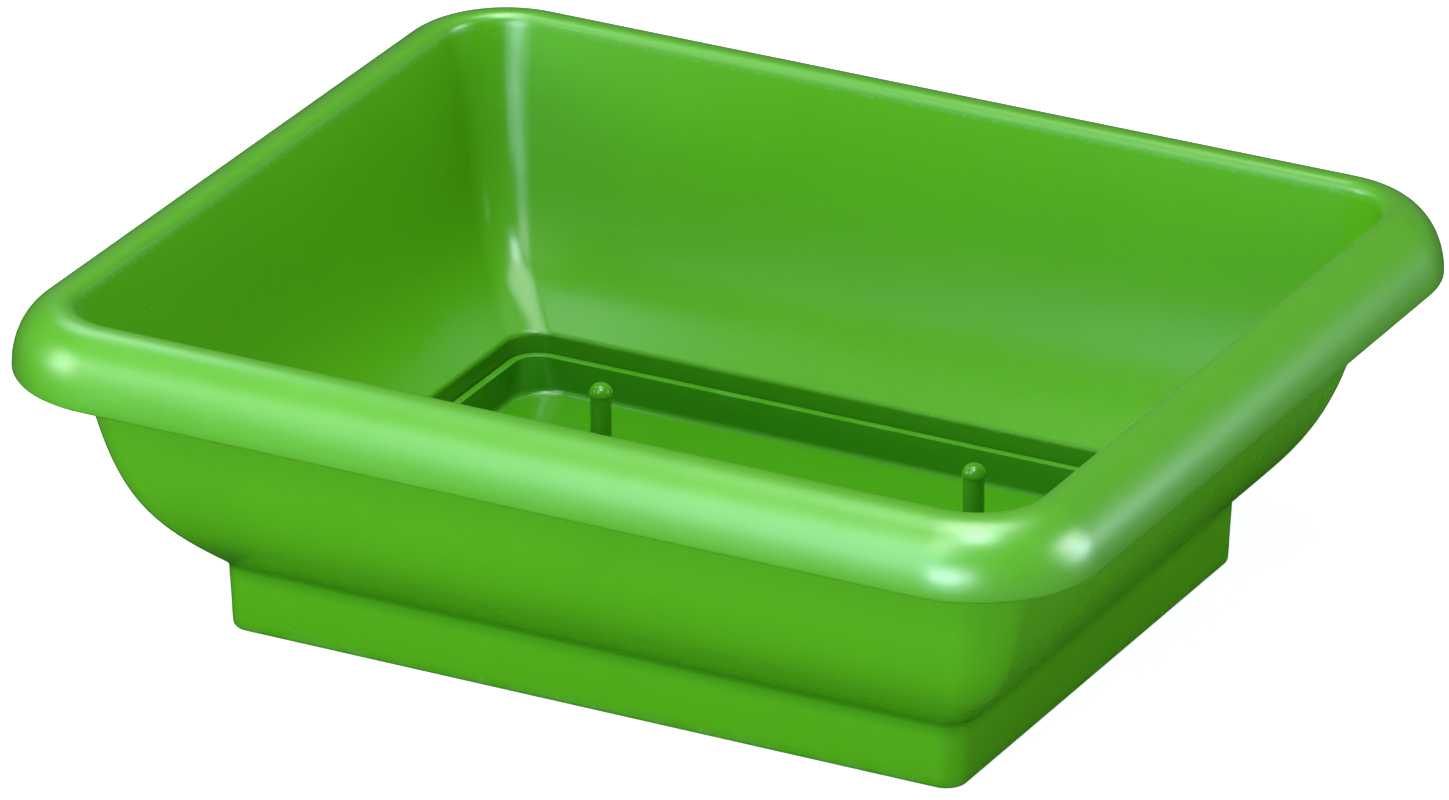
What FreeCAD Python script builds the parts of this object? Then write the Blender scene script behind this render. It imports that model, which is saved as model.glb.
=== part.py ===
import FreeCAD, Part
import math
import os

# A rectangular panning basin moulded in one glossy plastic: a wide rolled rim, walls that curve
# in like a bowl, and a hollow rectangular foot. A shallow tray drops into the hollow of the foot,
# and four round pegs with domed heads are pressed into sockets on the tray's floor.
# Millimetres, +Z up, origin at the centre of the face that the basin stands on, X along its length.

# ---- driving dimensions -------------------------------------------------------------------
BASIN_LENGTH = 350.0
BASIN_WIDTH = 298.0
BASIN_HEIGHT = 110.0
WALL = 2.6

# rolled rim: a quarter ellipse from the hanging lip up to the crest, then a small roll inward
RIM_CORNER_RADIUS = 39.0
RIM_OVERHANG = 15.5
RIM_DROP = 20.0
ROLL_RADIUS = 3.4

# wall: from the seam under the rim down to the shoulder where the foot begins
WALL_DRAFT = math.radians(12.0)
SEAM_HEIGHT = 92.0
UPPER_HANDLE = 42.0
LOWER_HANDLE = 28.6
SHOULDER_SLOPE = math.radians(41.0)
WALL_SECTIONS = 7

# foot: a hollow rectangular box with a little draft, standing on a narrow ring
FOOT_LENGTH = 244.2
FOOT_WIDTH = 186.0
FOOT_HEIGHT = 21.3
FOOT_DRAFT = 1.2
FOOT_CORNER_RADIUS = 8.0
FOOT_EDGE_RADIUS = 1.5
STANDING_RING = 5.0
STANDING_RING_HEIGHT = 2.6

# well: the hollow of the foot, open to the basin
WELL_OPENING_HEIGHT = 25.4
WELL_CORNER_RADIUS = 10.7
WELL_EDGE_SLOPE = math.radians(33.0)
INNER_LOWER_HANDLE = 26.0

# tray: drops into the well with a small gap all round
TRAY_GAP = 0.35
TRAY_TOP = 19.3
TRAY_FLOOR = 2.5
TRAY_FLOOR_CORNER_RADIUS = 14.0
TRAY_EDGE_RADIUS = 0.4

# pegs: pressed into round sockets on the tray's floor
PEG_SPACING_X = 125.0
PEG_SPACING_Y = 68.0
PEG_TOP = 41.4
PEG_RADIUS = 3.25
PEG_HEAD_RADIUS = 3.7
SPIGOT_RADIUS = 2.5
SOCKET_RADIUS = 5.0
SOCKET_HEIGHT = 4.0

# ---- derived heights ----------------------------------------------------------------------
BASIN_FLOOR_TOP = STANDING_RING_HEIGHT + WALL
TRAY_BOTTOM = BASIN_FLOOR_TOP + 0.3
TRAY_FLOOR_TOP = TRAY_BOTTOM + TRAY_FLOOR
SOCKET_TOP = TRAY_FLOOR_TOP + SOCKET_HEIGHT


def rounded_rectangle(half_x, half_y, radius, z):
    """A closed wire of four lines and four arcs, counter-clockwise from the front left."""
    edges = []
    corners = [(1, -1, -90), (1, 1, 0), (-1, 1, 90), (-1, -1, 180)]
    arcs = []
    for side_x, side_y, start in corners:
        centre_x = side_x * (half_x - radius)
        centre_y = side_y * (half_y - radius)
        points = []
        for turn in (0, 45, 90):
            angle = math.radians(start + turn)
            x = centre_x + radius * math.cos(angle)
            y = centre_y + radius * math.sin(angle)
            points.append(FreeCAD.Vector(x, y, z))
        arcs.append(points)
    for index, points in enumerate(arcs):
        before = arcs[index - 1]
        edges.append(Part.LineSegment(before[2], points[0]).toShape())
        edges.append(Part.Arc(points[0], points[1], points[2]).toShape())
    return Part.Wire(edges)


def straight_loft(lower, upper):
    """A solid with flat sides between two rounded rectangles."""
    return Part.makeLoft([lower, upper], True, True)


# ---- the rim's section --------------------------------------------------------------------
# Points are (distance in from the outermost edge, height).

def roll_tangent(radius):
    """Where the roll of the given radius meets the straight top of the wall."""
    along = RIM_OVERHANG + radius * math.cos(WALL_DRAFT)
    height = BASIN_HEIGHT - ROLL_RADIUS + radius * math.sin(WALL_DRAFT)
    return along, height


def seam_inset(radius):
    """How far in the wall's face is at the seam height."""
    along, height = roll_tangent(radius)
    return along + (height - SEAM_HEIGHT) * math.tan(WALL_DRAFT)


INNER_SEAM_INSET = seam_inset(ROLL_RADIUS)
OUTER_SEAM_INSET = seam_inset(ROLL_RADIUS - WALL)


def section_point(inset, height):
    """A point of the rim's section, measured from the axis of the rim's corner."""
    return FreeCAD.Vector(RIM_CORNER_RADIUS - inset, 0, height)


def quarter_ellipse(start, corner, end):
    """A quarter ellipse from start to end, as a Bezier curve whose handles aim at the corner."""
    handle = 0.5523
    curve = Part.BezierCurve()
    curve.setPoles([start, start + (corner - start) * handle, end + (corner - end) * handle, end])
    return curve.toShape()


def roll_arc(radius):
    """The roll at the crest, from its highest point round to the top of the wall."""
    middle_angle = math.radians(90) / 2 + WALL_DRAFT / 2
    centre_height = BASIN_HEIGHT - ROLL_RADIUS
    start = section_point(RIM_OVERHANG, centre_height + radius)
    middle_inset = RIM_OVERHANG + radius * math.cos(middle_angle)
    middle = section_point(middle_inset, centre_height + radius * math.sin(middle_angle))
    end = section_point(*roll_tangent(radius))
    return Part.Arc(start, middle, end).toShape()


def rim_section():
    """The rim's closed section: hanging lip, crest, roll, and the top of the wall."""
    lip_height = BASIN_HEIGHT - RIM_DROP
    lip_outer = section_point(0, lip_height)
    lip_inner = section_point(WALL, lip_height)
    lip_bottom = section_point(WALL / 2, lip_height - WALL / 2)
    crest_outer = section_point(RIM_OVERHANG, BASIN_HEIGHT)
    crest_inner = section_point(RIM_OVERHANG, BASIN_HEIGHT - WALL)
    seam_inner = section_point(INNER_SEAM_INSET, SEAM_HEIGHT)
    seam_outer = section_point(OUTER_SEAM_INSET, SEAM_HEIGHT)
    wall_inner = section_point(*roll_tangent(ROLL_RADIUS))
    wall_outer = section_point(*roll_tangent(ROLL_RADIUS - WALL))
    edges = [
        quarter_ellipse(lip_outer, section_point(0, BASIN_HEIGHT), crest_outer),
        roll_arc(ROLL_RADIUS),
        Part.LineSegment(wall_inner, seam_inner).toShape(),
        Part.LineSegment(seam_inner, seam_outer).toShape(),
        Part.LineSegment(seam_outer, wall_outer).toShape(),
        roll_arc(ROLL_RADIUS - WALL),
        quarter_ellipse(crest_inner, section_point(WALL, BASIN_HEIGHT - WALL), lip_inner),
        Part.Arc(lip_inner, lip_bottom, lip_outer).toShape(),
    ]
    return Part.Face(Part.Wire(Part.__sortEdges__(edges)))


def rolled_rim():
    """Four straight runs and four turned corners of the rim's section."""
    section = rim_section()
    up = FreeCAD.Vector(0, 0, 1)
    origin = FreeCAD.Vector(0, 0, 0)
    corner_x = BASIN_LENGTH / 2 - RIM_CORNER_RADIUS
    corner_y = BASIN_WIDTH / 2 - RIM_CORNER_RADIUS
    pieces = []
    places = [(1, -1, -90, corner_y), (1, 1, 0, corner_x), (-1, 1, 90, corner_y), (-1, -1, 180, corner_x)]
    for side_x, side_y, start, run in places:
        place = FreeCAD.Vector(side_x * corner_x, side_y * corner_y, 0)
        corner = section.revolve(origin, up, 90)
        straight = section.extrude(FreeCAD.Vector(0, 2 * run, 0))
        corner.rotate(origin, up, start)
        straight.rotate(origin, up, start + 90)
        corner.translate(place)
        straight.translate(place)
        pieces.extend([corner, straight])
    return pieces


# ---- the wall -----------------------------------------------------------------------------

def wall_point(share, top, foot, slope, upper_handle, lower_handle):
    """A point of the wall's curve: share 0 is at the seam, share 1 at the shoulder."""
    first = (top[0] - upper_handle * math.sin(WALL_DRAFT), top[1] - upper_handle * math.cos(WALL_DRAFT))
    second = (foot[0] + lower_handle * math.cos(slope), foot[1] + lower_handle * math.sin(slope))
    rest = 1 - share
    weights = (rest ** 3, 3 * share * rest ** 2, 3 * share ** 2 * rest, share ** 3)
    points = (top, first, second, foot)
    half = sum(weight * point[0] for weight, point in zip(weights, points))
    height = sum(weight * point[1] for weight, point in zip(weights, points))
    return half, height


def wall_loft(seam, foot_half_x, foot_half_y, foot_z, foot_radius, slope, lower_handle):
    """The bowl-shaped solid inside one face of the wall, from the foot up to the seam."""
    top_x = BASIN_LENGTH / 2 - seam
    top_y = BASIN_WIDTH / 2 - seam
    top_radius = RIM_CORNER_RADIUS - seam
    sections = []
    for index in range(WALL_SECTIONS):
        share = index / (WALL_SECTIONS - 1)
        shape = (slope, UPPER_HANDLE, lower_handle)
        half_x, height = wall_point(share, (top_x, SEAM_HEIGHT), (foot_half_x, foot_z), *shape)
        half_y, height = wall_point(share, (top_y, SEAM_HEIGHT), (foot_half_y, foot_z), *shape)
        level = (height - foot_z) / (SEAM_HEIGHT - foot_z)
        radius = foot_radius + (top_radius - foot_radius) * level
        sections.append(rounded_rectangle(half_x, half_y, radius, height))
    return Part.makeLoft(sections, True, False)


# ---- foot and well ------------------------------------------------------------------------

def foot_half(height):
    """Half the foot's length and width at a height."""
    taper = FOOT_DRAFT * (FOOT_HEIGHT - height) / FOOT_HEIGHT
    return FOOT_LENGTH / 2 - taper, FOOT_WIDTH / 2 - taper


def foot_block():
    """The outside of the foot, with its lower edge rounded."""
    lower_x, lower_y = foot_half(0)
    upper_x, upper_y = foot_half(FOOT_HEIGHT)
    lower = rounded_rectangle(lower_x, lower_y, FOOT_CORNER_RADIUS - FOOT_DRAFT, 0)
    upper = rounded_rectangle(upper_x, upper_y, FOOT_CORNER_RADIUS, FOOT_HEIGHT)
    block = straight_loft(lower, upper)
    low_edges = [edge for edge in block.Edges if edge.BoundBox.ZMax < 0.01]
    return block.makeFillet(FOOT_EDGE_RADIUS, low_edges)


def well_shape(inset, radius, low, high):
    """A tapered block that follows the foot's wall at an inset."""
    low_x, low_y = foot_half(low)
    high_x, high_y = foot_half(high)
    lower = rounded_rectangle(low_x - inset, low_y - inset, radius, low)
    upper = rounded_rectangle(high_x - inset, high_y - inset, radius, high)
    return straight_loft(lower, upper)


def basin():
    """The basin: rim, wall and foot as one moulding."""
    shoulder_x, shoulder_y = foot_half(FOOT_HEIGHT)
    outside = wall_loft(OUTER_SEAM_INSET, shoulder_x, shoulder_y, FOOT_HEIGHT,
                        FOOT_CORNER_RADIUS, SHOULDER_SLOPE, LOWER_HANDLE)
    outside = outside.fuse(foot_block())
    opening_x, opening_y = foot_half(WELL_OPENING_HEIGHT)
    inside = wall_loft(INNER_SEAM_INSET, opening_x - WALL, opening_y - WALL, WELL_OPENING_HEIGHT,
                       WELL_CORNER_RADIUS, WELL_EDGE_SLOPE, INNER_LOWER_HANDLE)
    well = well_shape(WALL, WELL_CORNER_RADIUS, BASIN_FLOOR_TOP, WELL_OPENING_HEIGHT)
    recess = well_shape(STANDING_RING, FOOT_CORNER_RADIUS - STANDING_RING / 2, 0, STANDING_RING_HEIGHT)
    shell = outside.cut(inside).cut(well).cut(recess)
    shell = shell.fuse(rolled_rim())
    return shell.removeSplitter()


# ---- tray and pegs ------------------------------------------------------------------------

def peg_places():
    """The four pegs' centres."""
    places = []
    for side_y in (-1, 1):
        for side_x in (-1, 1):
            places.append((side_x * PEG_SPACING_X / 2, side_y * PEG_SPACING_Y / 2))
    return places


def well_tray():
    """The drop-in tray, with a socket on its floor for each peg."""
    outer_inset = WALL + TRAY_GAP
    outer_radius = WELL_CORNER_RADIUS - TRAY_GAP
    tray = well_shape(outer_inset, outer_radius, TRAY_BOTTOM, TRAY_TOP)
    low_x, low_y = foot_half(TRAY_FLOOR_TOP)
    high_x, high_y = foot_half(TRAY_TOP)
    inner_inset = outer_inset + WALL
    lower = rounded_rectangle(low_x - inner_inset, low_y - inner_inset,
                              TRAY_FLOOR_CORNER_RADIUS, TRAY_FLOOR_TOP)
    upper = rounded_rectangle(high_x - inner_inset, high_y - inner_inset,
                              outer_radius - WALL, TRAY_TOP)
    tray = tray.cut(straight_loft(lower, upper))
    top_edges = [edge for edge in tray.Edges if edge.BoundBox.ZMin > TRAY_TOP - 0.01]
    tray = tray.makeFillet(TRAY_EDGE_RADIUS, top_edges)
    for x, y in peg_places():
        socket = Part.makeCylinder(SOCKET_RADIUS, SOCKET_HEIGHT + TRAY_FLOOR / 2,
                                   FreeCAD.Vector(x, y, TRAY_FLOOR_TOP - TRAY_FLOOR / 2))
        hole = Part.makeCylinder(SPIGOT_RADIUS, SOCKET_HEIGHT + TRAY_FLOOR,
                                 FreeCAD.Vector(x, y, TRAY_BOTTOM))
        tray = tray.fuse(socket).cut(hole)
    return tray.removeSplitter()


def peg(x, y):
    """A turned peg: spigot in the socket, round shank and a domed head a little wider."""
    head_height = PEG_TOP - PEG_HEAD_RADIUS
    under_head = head_height - (PEG_HEAD_RADIUS - PEG_RADIUS)
    dome_side = PEG_HEAD_RADIUS * math.cos(math.radians(45))
    points = [
        (0, TRAY_BOTTOM),
        (SPIGOT_RADIUS, TRAY_BOTTOM),
        (SPIGOT_RADIUS, SOCKET_TOP),
        (PEG_RADIUS, SOCKET_TOP),
        (PEG_RADIUS, under_head),
        (PEG_HEAD_RADIUS, head_height),
    ]
    corners = [FreeCAD.Vector(radius, 0, z) for radius, z in points]
    edges = []
    for start, end in zip(corners[:-1], corners[1:]):
        edges.append(Part.LineSegment(start, end).toShape())
    top = FreeCAD.Vector(0, 0, PEG_TOP)
    dome = FreeCAD.Vector(dome_side, 0, head_height + dome_side)
    edges.append(Part.Arc(corners[-1], dome, top).toShape())
    edges.append(Part.LineSegment(top, corners[0]).toShape())
    section = Part.Face(Part.Wire(edges))
    solid = section.revolve(FreeCAD.Vector(0, 0, 0), FreeCAD.Vector(0, 0, 1), 360)
    solid.translate(FreeCAD.Vector(x, y, 0))
    return solid


# ---- write one STEP file for each piece ---------------------------------------------------
os.makedirs("parts", exist_ok=True)
pieces = {"basin": basin(), "well_tray": well_tray()}
for number, (peg_x, peg_y) in enumerate(peg_places(), start=1):
    pieces["peg_" + str(number)] = peg(peg_x, peg_y)
for name, piece in pieces.items():
    piece.exportStep("parts/" + name + ".step")
    box = piece.BoundBox
    print(name, "valid", piece.isValid(), "solids", len(piece.Solids), "volume", round(piece.Volume),
          "size", round(box.XLength, 2), round(box.YLength, 2), round(box.ZLength, 2))
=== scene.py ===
import math

import bmesh
import bpy
from mathutils import Matrix, Vector


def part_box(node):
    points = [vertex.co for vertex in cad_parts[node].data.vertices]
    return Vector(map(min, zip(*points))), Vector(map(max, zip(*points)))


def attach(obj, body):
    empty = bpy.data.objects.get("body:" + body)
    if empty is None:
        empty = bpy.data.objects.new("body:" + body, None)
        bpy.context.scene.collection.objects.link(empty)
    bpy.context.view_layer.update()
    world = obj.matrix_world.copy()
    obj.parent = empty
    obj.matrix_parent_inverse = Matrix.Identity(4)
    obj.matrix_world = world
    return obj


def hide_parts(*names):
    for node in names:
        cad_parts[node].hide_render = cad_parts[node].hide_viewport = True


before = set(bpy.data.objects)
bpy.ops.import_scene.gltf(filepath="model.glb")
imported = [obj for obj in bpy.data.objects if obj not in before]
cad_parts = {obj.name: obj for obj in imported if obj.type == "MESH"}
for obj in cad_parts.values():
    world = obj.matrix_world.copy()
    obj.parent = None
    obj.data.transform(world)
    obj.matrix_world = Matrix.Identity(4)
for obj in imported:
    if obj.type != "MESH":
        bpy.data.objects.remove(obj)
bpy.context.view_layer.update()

# ---- Studio -------------------------------------------------------------------------------
# A pale paper floor under a faint sky, with soft cloth panels all round: broad ones for the even
# green, small bright ones for the highlights. The camera is a long lens, far away and high up.
turned = math.radians(27.76)
looking_down = math.radians(24.19)
camera_distance = 4.311
to_right = Vector((math.cos(turned), math.sin(turned), 0))
to_camera = Vector((math.sin(turned) * math.cos(looking_down),
                    -math.cos(turned) * math.cos(looking_down), math.sin(looking_down)))
upward = to_camera.cross(to_right)
aim_right = -0.0025
aim_up = 0.0569
aim = to_right * aim_right + upward * aim_up

camera_data = bpy.data.cameras.new("camera")
camera_data.lens = 361.3
camera_data.clip_end = 60
camera = bpy.data.objects.new("camera", camera_data)
bpy.context.scene.collection.objects.link(camera)
turn = Matrix((to_right, upward, to_camera)).transposed()
camera.matrix_world = Matrix.Translation(aim + to_camera * camera_distance) @ turn.to_4x4()
bpy.context.scene.camera = camera
bpy.context.scene.view_settings.view_transform = "Standard"

bpy.ops.object.select_all(action="DESELECT")
floor_gap = 0.0002
bpy.ops.mesh.primitive_plane_add(size=14, location=(0, 0, -floor_gap))
floor = bpy.context.object
floor.name = "studio_floor"
# To the camera the paper glows, nearly white, which thins the shadow under the basin. In
# reflections it is almost black, as if flagged off, so that the walls keep their full colour.
paper = bpy.data.materials.new("studio_paper")
paper.use_nodes = True
paper_nodes = paper.node_tree.nodes
paper_links = paper.node_tree.links
paper_shader = paper_nodes["Principled BSDF"]
paper_shader.inputs["Roughness"].default_value = 0.9
paper_shader.inputs["Specular IOR Level"].default_value = 0.0
ray = paper_nodes.new("ShaderNodeLightPath")
seen = paper_nodes.new("ShaderNodeMix")
seen.data_type = "RGBA"
seen.inputs[6].default_value = (0.62, 0.62, 0.62, 1)
seen.inputs[7].default_value = (0.03, 0.03, 0.03, 1)
paper_links.new(ray.outputs["Is Glossy Ray"], seen.inputs["Factor"])
paper_links.new(seen.outputs[2], paper_shader.inputs["Base Color"])
glow = paper_nodes.new("ShaderNodeMath")
glow.operation = "MULTIPLY"
glow.inputs[1].default_value = 0.85
paper_links.new(ray.outputs["Is Camera Ray"], glow.inputs[0])
paper_shader.inputs["Emission Color"].default_value = (1, 1, 1, 1)
paper_links.new(glow.outputs[0], paper_shader.inputs["Emission Strength"])
floor.data.materials.append(paper)

world = bpy.data.worlds.new("studio_sky")
world.use_nodes = True
bpy.context.scene.world = world
sky = world.node_tree.nodes["Background"]
sky.inputs["Color"].default_value = (0.95, 0.98, 1.0, 1)
sky.inputs["Strength"].default_value = 0.12


def soft_panel(name, bearing, elevation, distance, width, height, brightness, colour):
    """A soft light that faces the basin; bearing 0 is straight in front, and 90 to the right."""
    across = math.radians(bearing)
    up = math.radians(elevation)
    facing = Vector((math.sin(across) * math.cos(up), -math.cos(across) * math.cos(up), math.sin(up)))
    data = bpy.data.lights.new(name, "AREA")
    data.shape = "RECTANGLE"
    data.size = width
    data.size_y = height
    data.energy = brightness * math.pi * width * height
    data.color = colour
    light = bpy.data.objects.new(name, data)
    bpy.context.scene.collection.objects.link(light)
    turned_to_basin = facing.to_track_quat("Z", "Y").to_matrix().to_4x4()
    light.matrix_world = Matrix.Translation(facing * distance) @ turned_to_basin


white_cloth = (0.95, 0.98, 1.0)
blue_cloth = (0.74, 0.90, 1.0)
deep_blue_cloth = (0.62, 0.84, 1.0)
far = 2.2
soft_panel("front_window", 8, 7, far, 1.4, 0.7, 7.5, blue_cloth)
soft_panel("front_core", 4, 3, far, 0.8, 0.5, 12.0, deep_blue_cloth)
soft_panel("front_high", -6, 50, far, 0.8, 1.1, 4.5, white_cloth)
soft_panel("front_near", -9, 27, 0.85, 0.40, 0.42, 3.2, deep_blue_cloth)
soft_panel("corner_panel", 33, 66, far, 0.6, 0.6, 14.0, blue_cloth)
soft_panel("left_panel", -52, 24, far, 0.8, 0.9, 6.5, white_cloth)
soft_panel("left_near", -95, 50, 0.54, 0.14, 0.14, 4.0, blue_cloth)
soft_panel("side_panel", 112, 20, far, 0.9, 0.6, 7.5, white_cloth)
soft_panel("right_window", 118, 5, far, 1.1, 0.6, 5.5, blue_cloth)
soft_panel("right_core", 123, 3, far, 0.5, 0.45, 7.0, deep_blue_cloth)
soft_panel("top_panel", 0, 89, far, 1.3, 1.3, 6.0, white_cloth)

# ---- Basin --------------------------------------------------------------------------------
# The basin is one injection moulding in green polypropylene, glossy inside and satin on the rim.
# Its skin is drawn as level rounded rectangles, from the floor of the well up the inside, over
# the rolled rim and down the outside to the foot, and bridged into one closed, even wall.
basin_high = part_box("basin")[1]
half_length = basin_high.x
half_width = basin_high.y
rim_top = basin_high.z
wall = 0.0026

rim_corner = 0.039
overhang = 0.0155
rim_drop = 0.020
roll = 0.0034
draft = math.radians(12.0)
seam_height = 0.092
upper_handle = 0.042

foot_height = 0.0213
foot_half_length = 0.1221
foot_half_width = 0.0930
foot_taper = 0.0012
foot_corner = 0.008
foot_edge = 0.0015
well_floor = 0.0052
well_opening = 0.0254
well_corner = 0.0107
# how far up the wall the painted shade above the foot reaches
painted_shade_reach = 0.016
corner_segments = 20
ring_size = 4 * (corner_segments + 1)
# flat faces fall away by a hair, because two rings that are quite level can be bridged crosswise
hair = 0.00002


# a ring is (half length, half width, corner radius, height, wear, satin, painted shade)
def mixed(first, second, share):
    """The ring a share of the way from one ring to another."""
    return tuple(a + (b - a) * share for a, b in zip(first, second))


def eased(first, corner, last, steps):
    """Rings that round off the corner between two rings."""
    rings = []
    for step in range(steps + 1):
        share = step / steps
        rings.append(mixed(mixed(first, corner, share), mixed(corner, last, share), share))
    return rings


def rim_ring(inset, height, wear=0.0, satin=0.0):
    """A ring of the rim, whose corners share one axis."""
    return (half_length - inset, half_width - inset, rim_corner - inset, height, wear, satin, 0.0)


def roll_end(radius):
    """Where the roll at the crest meets the straight top of the wall."""
    inset = overhang + radius * math.cos(draft)
    return inset, rim_top - roll + radius * math.sin(draft)


def seam_inset(radius):
    """How far in the wall's face is at the seam height."""
    inset, height = roll_end(radius)
    return inset + (height - seam_height) * math.tan(draft)


def wall_ring(share, seam, foot, slope, lower_handle):
    """A ring of the bowl-shaped wall: share 0 is the seam under the rim, share 1 the foot."""
    rest = 1 - share
    weights = (rest ** 3, 3 * share * rest ** 2, 3 * share ** 2 * rest, share ** 3)
    foot_height_here = foot[3]
    heights = (seam_height, seam_height - upper_handle * math.cos(draft),
               foot_height_here + lower_handle * math.sin(slope), foot_height_here)
    height = sum(weight * value for weight, value in zip(weights, heights))
    halves = []
    for half, foot_half_here in ((half_length, foot[0]), (half_width, foot[1])):
        top = half - seam
        points = (top, top - upper_handle * math.sin(draft),
                  foot_half_here + lower_handle * math.cos(slope), foot_half_here)
        halves.append(sum(weight * value for weight, value in zip(weights, points)))
    level = (height - foot_height_here) / (seam_height - foot_height_here)
    radius = foot[2] + (rim_corner - seam - foot[2]) * level
    # painted shade: darker towards the foot, fading out a short way up the wall
    painted_shade = foot[6] * max(0.0, 1 - (height - foot_height_here) / painted_shade_reach)
    return (halves[0], halves[1], radius, height, 0.0, 0.0, painted_shade)


# its last argument is painted shade, which darkens the colour where shade falls
def foot_ring(inset, height, radius, wear=0.0, painted_shade=0.0):
    """A ring that follows the foot's slightly tapered outside at an inset."""
    taper = foot_taper * (foot_height - height) / foot_height
    return (foot_half_length - taper - inset, foot_half_width - taper - inset, radius, height,
            wear, 0.0, painted_shade)


def arc(start, end, steps):
    """Angles from start to end, in radians."""
    return [math.radians(start + (end - start) * step / steps) for step in range(steps + 1)]


def skin(name, rings):
    """One closed mesh through level rounded rectangles, with its finish and painted shade written at every
    ring.
    """
    bpy.ops.object.select_all(action="DESELECT")
    bpy.ops.mesh.primitive_plane_add(size=2, location=(0, 0, 0))
    piece = bpy.context.object
    piece.name = name
    bpy.ops.object.mode_set(mode="EDIT")
    bpy.ops.mesh.select_all(action="SELECT")
    bpy.ops.mesh.delete(type="VERT")
    for index, (half_x, half_y, radius, height) in enumerate(ring[:4] for ring in rings):
        bpy.ops.mesh.primitive_plane_add(size=2, location=(0, 0, height))
        bpy.ops.transform.resize(value=(half_x, half_y, 1), center_override=(0, 0, height))
        bpy.ops.mesh.bevel(offset=radius, segments=corner_segments, affect="VERTICES", profile=0.5)
        if 0 < index < len(rings) - 1:
            bpy.ops.mesh.delete(type="ONLY_FACE")
        if index > 0:
            bpy.ops.mesh.select_all(action="DESELECT")
            for edge in bmesh.from_edit_mesh(piece.data).edges:
                if len(edge.link_faces) < 2:
                    edge.select = True
            bpy.ops.mesh.bridge_edge_loops()
        bpy.ops.mesh.select_all(action="DESELECT")
    bpy.ops.mesh.select_all(action="SELECT")
    bpy.ops.mesh.normals_make_consistent(inside=False)
    bpy.ops.object.mode_set(mode="OBJECT")
    # wear, satin and painted shade are written as attributes, one value per ring
    for place, label in ((4, "worn"), (5, "satin"), (6, "painted_shade")):
        finish = piece.data.attributes.new(label, "FLOAT", "POINT")
        finish.data.foreach_set("value", [ring[place] for ring in rings for _ in range(ring_size)])
    bpy.ops.object.shade_smooth()
    return piece


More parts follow.
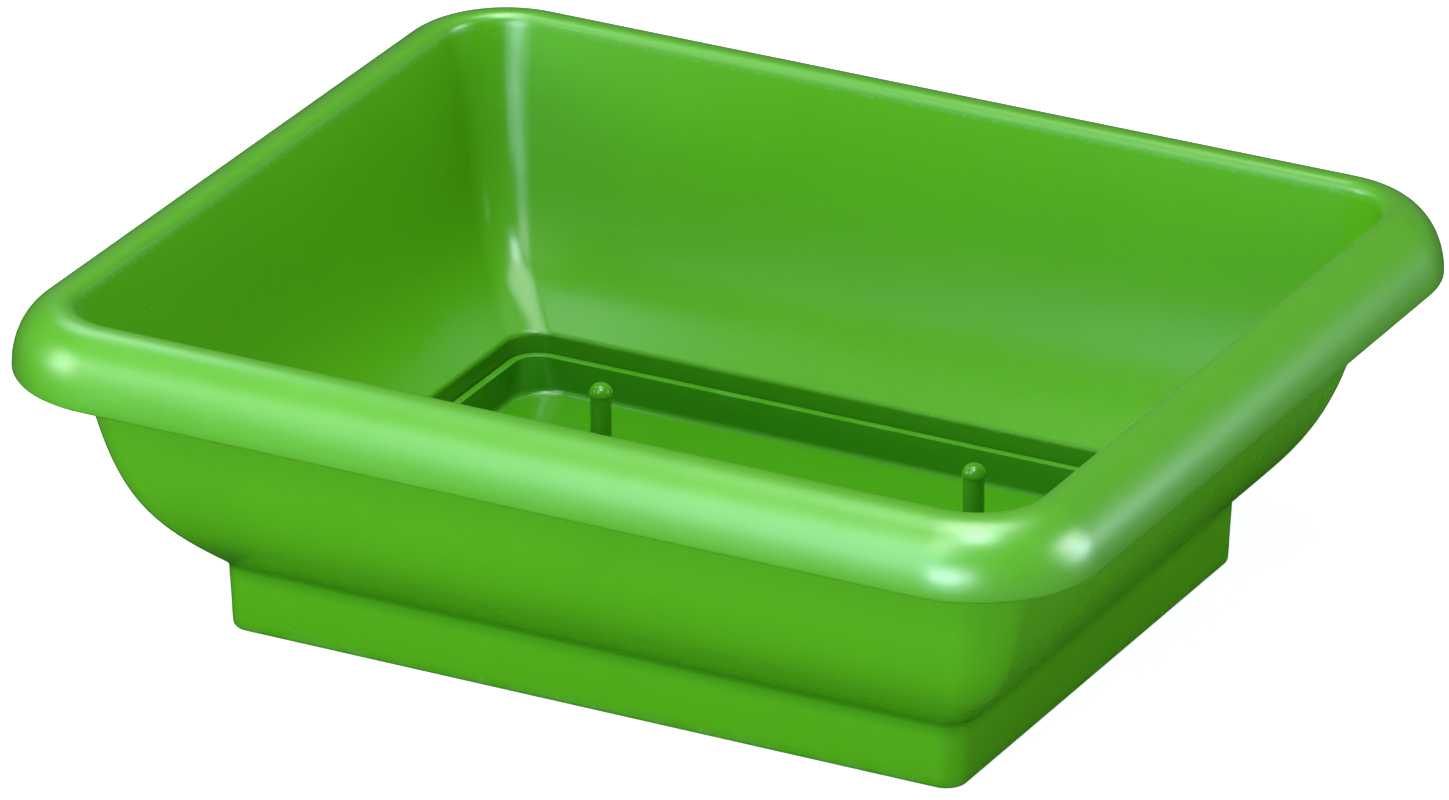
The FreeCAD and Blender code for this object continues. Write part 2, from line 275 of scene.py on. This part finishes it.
def basin_rings():
    """The whole section of the basin, from the well's floor over the rim to the underside."""
    rings = []
    fillet = 0.0020
    # the well's floor and wall, darkened all over by painted shade
    floor_ring = foot_ring(wall + fillet, well_floor, well_corner - fillet, 0.0, 1.0)
    rings.append(foot_ring(wall + 2 * fillet, well_floor - hair, well_corner - 2 * fillet, 0.0, 0.6))
    rings += eased(floor_ring, foot_ring(wall, well_floor, well_corner, 0.0, 1.0),
                   foot_ring(wall, well_floor + fillet, well_corner, 0.0, 1.0), 5)
    for share in (0.35, 0.7):
        rings.append(foot_ring(wall, well_floor + (well_opening - well_floor) * share, well_corner,
                               0.0, 1.0))
    # the rounded edge of the opening, where the painted shade fades out, and the bowl up to the seam
    opening = foot_ring(wall, well_opening, well_corner)
    inner = (seam_inset(roll), opening, math.radians(33.0), 0.026)
    edge_share = 0.985
    rings += eased(foot_ring(wall, well_opening - 0.0012, well_corner, 0.1, 0.9),
                   foot_ring(wall, well_opening, well_corner, 0.6, 0.3), wall_ring(edge_share, *inner), 5)
    for step in range(1, 25):
        rings.append(wall_ring(edge_share * (1 - step / 24), *inner))
    # over the crest and down the outside of the rolled rim
    inset, height = roll_end(roll)
    for share in (0.5, 0.12):
        rings.append(rim_ring(inset + (seam_inset(roll) - inset) * share,
                              height + (seam_height - height) * share))
    for angle in arc(12, 90, 7):
        turned_over = math.sin(angle)
        rings.append(rim_ring(overhang + roll * math.cos(angle), rim_top - roll + roll * turned_over,
                              0.15 * turned_over, 0.5 + 0.5 * turned_over))
    lip_height = rim_top - rim_drop
    for angle in arc(84, 0, 14):
        rings.append(rim_ring(overhang * (1 - math.cos(angle)),
                              lip_height + rim_drop * math.sin(angle), 0.15, 1.0))
    # round the lip, and back up the inside of the curl
    for angle in arc(-22.5, -180, 7):
        rings.append(rim_ring(wall / 2 * (1 - math.cos(angle)),
                              lip_height + wall / 2 * math.sin(angle), 0.2, 0.5))
    for angle in arc(9, 90, 9):
        rings.append(rim_ring(overhang - (overhang - wall) * math.cos(angle),
                              lip_height + (rim_drop - wall) * math.sin(angle)))
    for angle in arc(64, 12, 2):
        rings.append(rim_ring(overhang + (roll - wall) * math.cos(angle),
                              rim_top - roll + (roll - wall) * math.sin(angle)))
    inset, height = roll_end(roll - wall)
    rings.append(rim_ring((inset + seam_inset(roll - wall)) / 2, (height + seam_height) / 2))
    # down the outside of the bowl to the soft shoulder above the foot, with painted shade darkening the
    # crease at the shoulder
    shoulder = foot_ring(0, foot_height, foot_corner, 0.0, 1.0)
    outer = (seam_inset(roll - wall), shoulder, math.radians(41.0), 0.0286)
    shoulder_share = 0.97
    for step in range(24):
        rings.append(wall_ring(shoulder_share * step / 24, *outer))
    rings += eased(wall_ring(shoulder_share, *outer), shoulder,
                   foot_ring(0, foot_height - 0.0016, foot_corner, 0.0, 0.5), 5)
    # down the foot, round its lower edge, and across the ring that it stands on
    lower_corner = foot_corner - foot_taper
    rings.append(foot_ring(0, 0.016, foot_corner - foot_taper / 4))
    rings.append(foot_ring(0, 0.010, foot_corner - foot_taper / 2))
    rings.append(foot_ring(0, 0.004, lower_corner))
    rings += eased(foot_ring(0, foot_edge, lower_corner, 0.6, 0.3),
                   foot_ring(0, 0, lower_corner, 0.6, 1.0),
                   foot_ring(foot_edge, 0, lower_corner - foot_edge, 0.8), 5)
    stand = 0.005
    recess = 0.0026
    recess_corner = foot_corner - stand / 2
    rings += eased(foot_ring(stand - 0.0005, hair, recess_corner + 0.0005, 0.8),
                   foot_ring(stand, hair, recess_corner, 0.8),
                   foot_ring(stand, 0.0005, recess_corner), 3)
    rings += eased(foot_ring(stand, recess - 0.0006, recess_corner),
                   foot_ring(stand, recess, recess_corner),
                   foot_ring(stand + 0.0006, recess, recess_corner - 0.0006), 3)
    rings.append(foot_ring(stand + 0.0020, recess + hair, recess_corner - 0.0020))
    return rings


def add_node(tree, kind, inputs=(), **settings):
    """A shader node with its settings, and its inputs set to a value or linked to a socket."""
    node = tree.nodes.new(kind)
    for name, value in settings.items():
        setattr(node, name, value)
    for name, value in dict(inputs).items():
        if isinstance(value, bpy.types.NodeSocket):
            tree.links.new(value, node.inputs[name])
        else:
            node.inputs[name].default_value = value
    return node


def new_group(name, inputs, outputs):
    """An empty shader node group with named sockets."""
    tree = bpy.data.node_groups.new(name, "ShaderNodeTree")
    for label, kind, value in inputs:
        socket = tree.interface.new_socket(label, in_out="INPUT", socket_type=kind)
        if value is not None:
            socket.default_value = value
    for label, kind in outputs:
        tree.interface.new_socket(label, in_out="OUTPUT", socket_type=kind)
    return tree, tree.nodes.new("NodeGroupInput").outputs, tree.nodes.new("NodeGroupOutput")


def moulded_skin_group():
    """The skin of a glossy moulding: flow mottling, a trace of orange peel, and fine dust specks."""
    tree, given, out = new_group(
        "moulded_skin",
        [("Place", "NodeSocketVector", None), ("Colour", "NodeSocketColor", (0.1, 0.4, 0.01, 1)),
         ("Deep Colour", "NodeSocketColor", (0.08, 0.33, 0.01, 1)),
         ("Roughness", "NodeSocketFloat", 0.2)],
        [("Colour", "NodeSocketColor"), ("Roughness", "NodeSocketFloat"),
         ("Height", "NodeSocketFloat")])
    flow = add_node(tree, "ShaderNodeTexNoise",
                    {"Vector": given["Place"], "Scale": 14.0, "Detail": 3.0, "Distortion": 0.8})
    mottle = add_node(tree, "ShaderNodeMapRange",
                      {"Value": flow.outputs["Fac"], "From Min": 0.35, "From Max": 0.70,
                       "To Min": 0.0, "To Max": 0.45})
    tint = add_node(tree, "ShaderNodeMix", data_type="RGBA")
    tree.links.new(mottle.outputs["Result"], tint.inputs["Factor"])
    tree.links.new(given["Colour"], tint.inputs[6])
    tree.links.new(given["Deep Colour"], tint.inputs[7])
    specks = add_node(tree, "ShaderNodeTexNoise",
                      {"Vector": given["Place"], "Scale": 420.0, "Detail": 2.0})
    haze = add_node(tree, "ShaderNodeMapRange",
                    {"Value": specks.outputs["Fac"], "From Min": 0.4, "From Max": 0.75,
                     "To Min": 0.0, "To Max": 0.05})
    rough = add_node(tree, "ShaderNodeMath", {0: given["Roughness"], 1: haze.outputs["Result"]},
                     operation="ADD")
    peel = add_node(tree, "ShaderNodeTexNoise",
                    {"Vector": given["Place"], "Scale": 260.0, "Detail": 2.0, "Roughness": 0.4})
    sink = add_node(tree, "ShaderNodeTexNoise", {"Vector": given["Place"], "Scale": 22.0, "Detail": 0.0})
    height = add_node(tree, "ShaderNodeMath", {0: sink.outputs["Fac"], 1: 3.0, 2: peel.outputs["Fac"]},
                      operation="MULTIPLY_ADD")
    tree.links.new(tint.outputs[2], out.inputs["Colour"])
    tree.links.new(rough.outputs[0], out.inputs["Roughness"])
    tree.links.new(height.outputs[0], out.inputs["Height"])
    return tree


def fine_scratches_group():
    """Hairline scratches in two directions, in patches, as sand and gravel leave them."""
    tree, given, out = new_group(
        "fine_scratches",
        [("Place", "NodeSocketVector", None), ("Amount", "NodeSocketFloat", 0.5)],
        [("Mask", "NodeSocketFloat")])
    lines = []
    for turn_z, turn_y in ((0.4, 0.0), (-0.9, 0.3), (1.9, -0.2)):
        turned_place = add_node(tree, "ShaderNodeMapping",
                                {"Vector": given["Place"], "Rotation": (0.2, turn_y, turn_z),
                                 "Scale": (9.0, 620.0, 620.0)})
        strand = add_node(tree, "ShaderNodeTexNoise",
                          {"Vector": turned_place.outputs[0], "Scale": 1.0, "Detail": 1.0})
        line = add_node(tree, "ShaderNodeMapRange",
                        {"Value": strand.outputs["Fac"], "From Min": 0.70, "From Max": 0.78})
        lines.append(line.outputs["Result"])
    both = add_node(tree, "ShaderNodeMath", {0: lines[0], 1: lines[1]}, operation="MAXIMUM")
    every = add_node(tree, "ShaderNodeMath", {0: both.outputs[0], 1: lines[2]}, operation="MAXIMUM")
    patches = add_node(tree, "ShaderNodeTexNoise", {"Vector": given["Place"], "Scale": 30.0, "Detail": 2.0})
    patch = add_node(tree, "ShaderNodeMapRange",
                     {"Value": patches.outputs["Fac"], "From Min": 0.45, "From Max": 0.62})
    patchy = add_node(tree, "ShaderNodeMath", {0: every.outputs[0], 1: patch.outputs["Result"]},
                      operation="MULTIPLY")
    mask = add_node(tree, "ShaderNodeMath", {0: patchy.outputs[0], 1: given["Amount"]},
                    operation="MULTIPLY")
    tree.links.new(mask.outputs[0], out.inputs["Mask"])
    return tree


def edge_wear_group():
    """Paler, duller plastic where edges are rubbed, broken up so that no edge wears evenly."""
    tree, given, out = new_group(
        "edge_wear",
        [("Place", "NodeSocketVector", None), ("Worn", "NodeSocketFloat", 0.0)],
        [("Mask", "NodeSocketFloat")])
    rub = add_node(tree, "ShaderNodeTexNoise",
                   {"Vector": given["Place"], "Scale": 110.0, "Detail": 4.0, "Roughness": 0.6})
    broken = add_node(tree, "ShaderNodeMapRange",
                      {"Value": rub.outputs["Fac"], "From Min": 0.42, "From Max": 0.68})
    mask = add_node(tree, "ShaderNodeMath", {0: broken.outputs["Result"], 1: given["Worn"]},
                    operation="MULTIPLY")
    tree.links.new(mask.outputs[0], out.inputs["Mask"])
    return tree


satin_roughness = 0.33
# painted shade: this darker tint multiplies the green on the walls of the well, on the tray's inner wall
# and in the crease above the foot, where shade falls
painted_shade_tint = (0.42, 0.62, 0.55)
moulded_skin = moulded_skin_group()
fine_scratches = fine_scratches_group()
edge_wear = edge_wear_group()


def glossy_green(name, colour, deep_colour, worn_colour, roughness, scratch_amount, wear_amount):
    """A glossy moulded plastic with its own colours, scratches, satin rim, worn edges and painted shade."""
    material = bpy.data.materials.new(name)
    material.use_nodes = True
    tree = material.node_tree
    shader = tree.nodes["Principled BSDF"]
    place = tree.nodes.new("ShaderNodeTexCoord").outputs["Object"]
    plastic = add_node(tree, "ShaderNodeGroup", node_tree=moulded_skin)
    tree.links.new(place, plastic.inputs["Place"])
    plastic.inputs["Colour"].default_value = colour + (1,)
    plastic.inputs["Deep Colour"].default_value = deep_colour + (1,)
    satin = add_node(tree, "ShaderNodeAttribute", attribute_name="satin")
    finish = add_node(tree, "ShaderNodeMapRange",
                      {"Value": satin.outputs["Fac"], "To Min": roughness, "To Max": satin_roughness})
    tree.links.new(finish.outputs["Result"], plastic.inputs["Roughness"])
    tree.links.new(satin.outputs["Fac"], shader.inputs["Coat Weight"])
    shader.inputs["Coat Roughness"].default_value = satin_roughness
    shader.inputs["Coat IOR"].default_value = 1.6
    scratches = add_node(tree, "ShaderNodeGroup", node_tree=fine_scratches)
    tree.links.new(place, scratches.inputs["Place"])
    scratches.inputs["Amount"].default_value = scratch_amount
    attribute = add_node(tree, "ShaderNodeAttribute", attribute_name="worn")
    worn = add_node(tree, "ShaderNodeMath", {0: attribute.outputs["Fac"], 1: wear_amount},
                    operation="MULTIPLY")
    wear = add_node(tree, "ShaderNodeGroup", node_tree=edge_wear)
    tree.links.new(place, wear.inputs["Place"])
    tree.links.new(worn.outputs[0], wear.inputs["Worn"])
    marks = add_node(tree, "ShaderNodeMath",
                     {0: wear.outputs["Mask"], 1: scratches.outputs["Mask"]}, operation="MAXIMUM")
    rubbed = add_node(tree, "ShaderNodeMix", data_type="RGBA")
    tree.links.new(marks.outputs[0], rubbed.inputs["Factor"])
    # painted shade: the attribute multiplies the base colour by the dark tint
    painted_shade = add_node(tree, "ShaderNodeAttribute", attribute_name="painted_shade")
    deepened = add_node(tree, "ShaderNodeMix", data_type="RGBA", blend_type="MULTIPLY")
    tree.links.new(painted_shade.outputs["Fac"], deepened.inputs["Factor"])
    tree.links.new(plastic.outputs["Colour"], deepened.inputs[6])
    deepened.inputs[7].default_value = painted_shade_tint + (1,)
    tree.links.new(deepened.outputs[2], rubbed.inputs[6])
    rubbed.inputs[7].default_value = worn_colour + (1,)
    dull = add_node(tree, "ShaderNodeMath",
                    {0: marks.outputs[0], 1: 0.35, 2: plastic.outputs["Roughness"]},
                    operation="MULTIPLY_ADD")
    relief = add_node(tree, "ShaderNodeMath",
                      {0: marks.outputs[0], 1: -0.5, 2: plastic.outputs["Height"]},
                      operation="MULTIPLY_ADD")
    bump = add_node(tree, "ShaderNodeBump",
                    {"Strength": 0.12, "Distance": 0.00004, "Height": relief.outputs[0]})
    tree.links.new(rubbed.outputs[2], shader.inputs["Base Color"])
    tree.links.new(dull.outputs[0], shader.inputs["Roughness"])
    tree.links.new(bump.outputs[0], shader.inputs["Normal"])
    shader.inputs["IOR"].default_value = 1.5
    return material


basin_shell = skin("basin_moulding", basin_rings())
basin_shell.data.materials.append(glossy_green(
    "basin_green", (0.072, 0.312, 0.0038), (0.064, 0.289, 0.0034), (0.20, 0.46, 0.10), 0.22, 0.05, 0.25))
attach(basin_shell, "basin")
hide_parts("basin")

# ---- Well tray ----------------------------------------------------------------------------
# A shallow moulded tray drops into the hollow of the foot with a hair of room all round. The
# corners of its floor are rounder than those of its edge, and four round sockets stand on it.
tray_low, tray_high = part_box("well_tray")
tray_gap = 0.00035
tray_floor = 0.0080
tray_inset = wall + tray_gap
tray_corner = well_corner - tray_gap


def tray_rings():
    """The tray's section, from its floor up the inside, over its edge and down to its underside."""
    inner = tray_inset + wall
    edge = 0.0004
    fillet = 0.0022
    floor_corner = 0.0140
    top_corner = tray_corner - wall
    # painted shade darkens the tray's floor fillet and inner wall, down in the hollow
    rings = [foot_ring(inner + 2 * fillet, tray_floor - hair, floor_corner - fillet)]
    rings += eased(foot_ring(inner + fillet, tray_floor, floor_corner, 0.0, 0.1),
                   foot_ring(inner, tray_floor, floor_corner, 0.0, 0.5),
                   foot_ring(inner, tray_floor + fillet, floor_corner, 0.0, 1.0), 5)
    low = foot_ring(inner, tray_floor + fillet, floor_corner, 0.0, 1.0)
    high = foot_ring(inner, tray_high.z - edge, top_corner, 0.2, 0.9)
    rings.append(mixed(low, high, 0.5))
    rings += eased(high, foot_ring(inner, tray_high.z, top_corner, 1.0),
                   foot_ring(inner - edge, tray_high.z, top_corner + edge, 1.0), 3)
    rings += eased(foot_ring(tray_inset + edge, tray_high.z - hair, tray_corner - edge, 1.0),
                   foot_ring(tray_inset, tray_high.z - hair, tray_corner, 1.0),
                   foot_ring(tray_inset, tray_high.z - edge, tray_corner), 3)
    rings.append(foot_ring(tray_inset, (tray_high.z + tray_low.z) / 2, tray_corner))
    bottom_edge = 0.0010
    rings += eased(foot_ring(tray_inset, tray_low.z + bottom_edge, tray_corner),
                   foot_ring(tray_inset, tray_low.z, tray_corner, 0.8),
                   foot_ring(tray_inset + bottom_edge, tray_low.z, tray_corner - bottom_edge), 4)
    rings.append(foot_ring(tray_inset + 3 * bottom_edge, tray_low.z + hair,
                           tray_corner - 3 * bottom_edge))
    return rings


def cut_or_join(piece, tool, operation):
    """Joins a tool solid to a piece or cuts it out, and removes the tool."""
    modifier = piece.modifiers.new("shape", "BOOLEAN")
    modifier.operation = operation
    modifier.solver = "EXACT"
    modifier.object = tool
    bpy.ops.object.select_all(action="DESELECT")
    piece.select_set(True)
    bpy.context.view_layer.objects.active = piece
    bpy.ops.object.modifier_apply(modifier=modifier.name)
    bpy.data.objects.remove(tool)


def turned_piece(name, outline, segments):
    """A round piece on the Z axis: a disc extruded up through (radius, height) points."""
    bpy.ops.object.select_all(action="DESELECT")
    start_radius, start_height = outline[0]
    bpy.ops.mesh.primitive_circle_add(vertices=segments, radius=start_radius, fill_type="NGON",
                                      location=(0, 0, start_height))
    piece = bpy.context.object
    piece.name = name
    bpy.ops.object.transform_apply(location=True, rotation=False, scale=False)
    bpy.ops.object.mode_set(mode="EDIT")
    bpy.ops.mesh.select_all(action="SELECT")
    radius, height = start_radius, start_height
    for next_radius, next_height in outline[1:]:
        bpy.ops.mesh.extrude_region_move(TRANSFORM_OT_translate={"value": (0, 0, next_height - height)})
        share = next_radius / radius
        bpy.ops.transform.resize(value=(share, share, 1), center_override=(0, 0, next_height))
        radius, height = next_radius, next_height
    bpy.ops.mesh.select_all(action="SELECT")
    bpy.ops.mesh.normals_make_consistent(inside=False)
    bpy.ops.object.mode_set(mode="OBJECT")
    return piece


def moved(piece, x, y):
    """Moves a piece's mesh to its place and leaves its object at the origin."""
    piece.location = (x, y, 0)
    bpy.ops.object.select_all(action="DESELECT")
    piece.select_set(True)
    bpy.context.view_layer.objects.active = piece
    bpy.ops.object.transform_apply(location=True, rotation=False, scale=False)
    return piece


socket_top = 0.0120
socket_radius = 0.0050
spigot_radius = 0.0025
peg_spacing_x = 0.125
peg_spacing_y = 0.068
peg_centres = [(side_x * peg_spacing_x / 2, side_y * peg_spacing_y / 2)
               for side_y in (-1, 1) for side_x in (-1, 1)]

tray = skin("drop_in_tray", tray_rings())
socket_outline = [(socket_radius, tray_floor - 0.001), (socket_radius, socket_top - 0.0005),
                  (socket_radius - 0.00015, socket_top - 0.00015),
                  (socket_radius - 0.0005, socket_top)]
for x, y in peg_centres:
    cut_or_join(tray, moved(turned_piece("socket", socket_outline, 40), x, y), "UNION")
    hole = [(spigot_radius + 0.00003, tray_low.z - 0.001), (spigot_radius + 0.00003, socket_top + 0.001)]
    cut_or_join(tray, moved(turned_piece("hole", hole, 40), x, y), "DIFFERENCE")
bpy.ops.object.shade_smooth_by_angle(angle=math.radians(35))
# painted shade: the tray's green is a little darker than the basin's, for its place down in the hollow
tray.data.materials.append(glossy_green(
    "tray_green", (0.058, 0.295, 0.0045), (0.050, 0.270, 0.004), (0.19, 0.44, 0.10), 0.18, 0.10, 0.15))
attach(tray, "tray")
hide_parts("well_tray")

# ---- Pegs ---------------------------------------------------------------------------------
# Four round plastic pegs are pressed into the tray's sockets by a thinner spigot. Each has a
# straight shank and a smooth domed head, a little wider than the shank, that meets the hand.
peg_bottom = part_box("peg_1")[0].z
peg_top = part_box("peg_1")[1].z
shank_radius = 0.00325
head_radius = 0.0037


def peg_outline():
    """The peg's profile, from the spigot's chamfered end to the top of the dome."""
    chamfer = 0.0003
    dome_base = peg_top - head_radius
    under_head = dome_base - (head_radius - shank_radius)
    outline = [(spigot_radius - chamfer, peg_bottom), (spigot_radius, peg_bottom + chamfer),
               (spigot_radius, socket_top), (shank_radius - chamfer, socket_top),
               (shank_radius, socket_top + chamfer), (shank_radius, under_head - 0.0004),
               (shank_radius + 0.00005, under_head), (head_radius - 0.00008, dome_base - 0.0001)]
    for angle in arc(0, 84, 14):
        outline.append((head_radius * math.cos(angle), dome_base + head_radius * math.sin(angle)))
    outline.append((head_radius * 0.03, peg_top))
    return outline


# painted shade: the pegs' green is darker again than the basin's, for the hollow they stand in
peg_material = glossy_green(
    "peg_green", (0.055, 0.280, 0.0045), (0.048, 0.255, 0.004), (0.20, 0.45, 0.11), 0.18, 0.1, 0.3)
for number, (x, y) in enumerate(peg_centres, start=1):
    peg = moved(turned_piece("turned_peg_" + str(number), peg_outline(), 40), x, y)
    bpy.ops.object.shade_smooth_by_angle(angle=math.radians(50))
    peg.data.materials.append(peg_material)
    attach(peg, "tray")
    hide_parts("peg_" + str(number))
